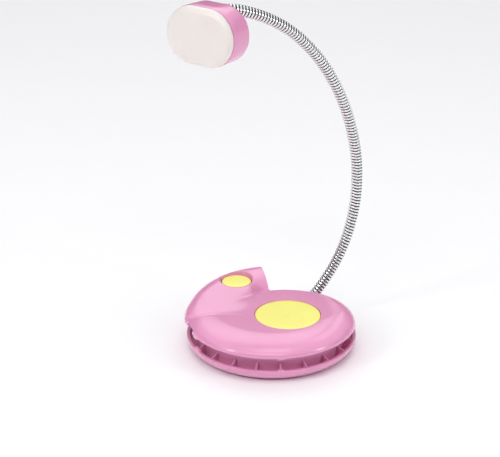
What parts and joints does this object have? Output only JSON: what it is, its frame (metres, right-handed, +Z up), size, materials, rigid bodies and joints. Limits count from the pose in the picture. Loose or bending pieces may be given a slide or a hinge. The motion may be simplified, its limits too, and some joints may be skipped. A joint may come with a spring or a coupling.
{
  "type": "clip-on reading lamp",
  "caption": "Small clip-on reading lamp: a snail-shaped clip base with a coin-cell lid and push button, a chrome gooseneck and a rounded obround lamp head.",
  "frame": {"origin": "centre of the flat resting face under the round lower jaw", "axes": "+Z up; +X to the right and -Y towards the front, where the clip's mouth opens; the neck rises from the back right and the head hangs over the front left"},
  "size_m": [0.0731, 0.069, 0.1365],
  "materials": {
    "pink_plastic": "glossy moulded pink plastic",
    "yellow_plastic": "glossy moulded pale yellow plastic",
    "grip_rubber": "dark soft rubber",
    "steel": "bright steel",
    "cell_steel": "satin nickel-plated steel",
    "contact_brass": "thin brass strip",
    "board": "green laminate",
    "board_white": "white laminate",
    "dark_plastic": "black plastic",
    "resistor_body": "dark ceramic body",
    "neck_chrome": "mirror chrome",
    "milky_plastic": "milky translucent plastic",
    "white_plastic": "white plastic",
    "led_body": "yellow phosphor in a white body"
  },
  "bodies": {
    "clip_base": {"lower_jaw": "pink_plastic", "grip_plate": "grip_rubber", "hinge_pins": "steel", "torsion_spring": "steel"},
    "clip_shell": {"upper_shell": "pink_plastic", "bottom_cover": "pink_plastic", "cover_screws": "steel", "battery_tub": "white_plastic", "cell_lower": "cell_steel", "cell_upper": "cell_steel", "negative_contact": "contact_brass", "positive_contact": "contact_brass", "circuit_board": "board", "switch_body": "dark_plastic", "resistor": "resistor_body", "neck_root": "neck_chrome"},
    "battery_lid": {"battery_cover": "yellow_plastic"},
    "power_button": {"button_cap": "yellow_plastic", "switch_plunger": "dark_plastic"},
    "neck_1": {"neck_link_1": "neck_chrome"},
    "neck_2": {"neck_link_2": "neck_chrome"},
    "neck_3": {"neck_link_3": "neck_chrome"},
    "neck_4": {"neck_link_4": "neck_chrome"},
    "neck_5": {"neck_link_5": "neck_chrome"},
    "neck_6": {"neck_link_6": "neck_chrome"},
    "neck_7": {"neck_link_7": "neck_chrome"},
    "neck_8": {"neck_link_8": "neck_chrome"},
    "lamp_head": {"neck_tip": "neck_chrome", "head_housing": "pink_plastic", "head_screws": "steel", "diffuser": "milky_plastic", "reflector": "white_plastic", "led_board": "board_white", "leds": "led_body"}
  },
  "joints": [
    {"name": "clip_hinge", "type": "hinge", "parent": "clip_base", "child": "clip_shell", "pos_m": [0, 0.003, 0.0109], "axis": [-0.9951, -0.0993, 0], "range_deg": [0, 14], "stiffness_Nm_per_rad": 0.25, "springref_deg": -34.38, "deforming": ["torsion_spring"]},
    {"name": "battery_lid_lift", "type": "slide", "parent": "clip_shell", "child": "battery_lid", "axis": [0, 0, 1], "range_m": [0, 0.01]},
    {"name": "button_press", "type": "slide", "parent": "clip_shell", "child": "power_button", "axis": [0, 0, -1], "range_m": [0, 0.0008], "stiffness_N_per_m": 900, "springref_m": -0.0012},
    {"name": "neck_bend_1", "type": "hinge", "parent": "clip_shell", "child": "neck_1", "pos_m": [0.0179, 0.0204, 0.0118], "axis": [0.4637, -0.8833, -0.0697], "range_deg": [-28, 20]},
    {"name": "neck_bend_2", "type": "hinge", "parent": "neck_1", "child": "neck_2", "pos_m": [0.0277, 0.02434, 0.027], "axis": [-0.7915, -0.4484, 0.4153], "range_deg": [-20, 20]},
    {"name": "neck_bend_3", "type": "hinge", "parent": "neck_2", "child": "neck_3", "pos_m": [0.03283, 0.02563, 0.04476], "axis": [0.4637, -0.8832, -0.0697], "range_deg": [-28, 20]},
    {"name": "neck_bend_4", "type": "hinge", "parent": "neck_3", "child": "neck_4", "pos_m": [0.0336, 0.02458, 0.06327], "axis": [-0.8835, -0.4551, -0.1112], "range_deg": [-20, 20]},
    {"name": "neck_bend_5", "type": "hinge", "parent": "neck_4", "child": "neck_5", "pos_m": [0.03066, 0.0216, 0.08135], "axis": [0.4637, -0.8832, -0.0697], "range_deg": [-28, 20]},
    {"name": "neck_bend_6", "type": "hinge", "parent": "neck_5", "child": "neck_6", "pos_m": [0.02455, 0.01706, 0.09829], "axis": [-0.7873, -0.3747, -0.4897], "range_deg": [-20, 20]},
    {"name": "neck_bend_7", "type": "hinge", "parent": "neck_6", "child": "neck_7", "pos_m": [0.0154, 0.01107, 0.11329], "axis": [0.4637, -0.8832, -0.0698], "range_deg": [-28, 20]},
    {"name": "neck_bend_8", "type": "hinge", "parent": "neck_7", "child": "neck_8", "pos_m": [0.00313, 0.0037, 0.12508], "axis": [-0.4916, -0.191, -0.8496], "range_deg": [-20, 20]},
    {"name": "neck_bend_9", "type": "hinge", "parent": "neck_8", "child": "lamp_head", "pos_m": [-0.01178, -0.00469, 0.13218], "axis": [0.4637, -0.8832, -0.0697], "range_deg": [-20, 20]}
  ]
}
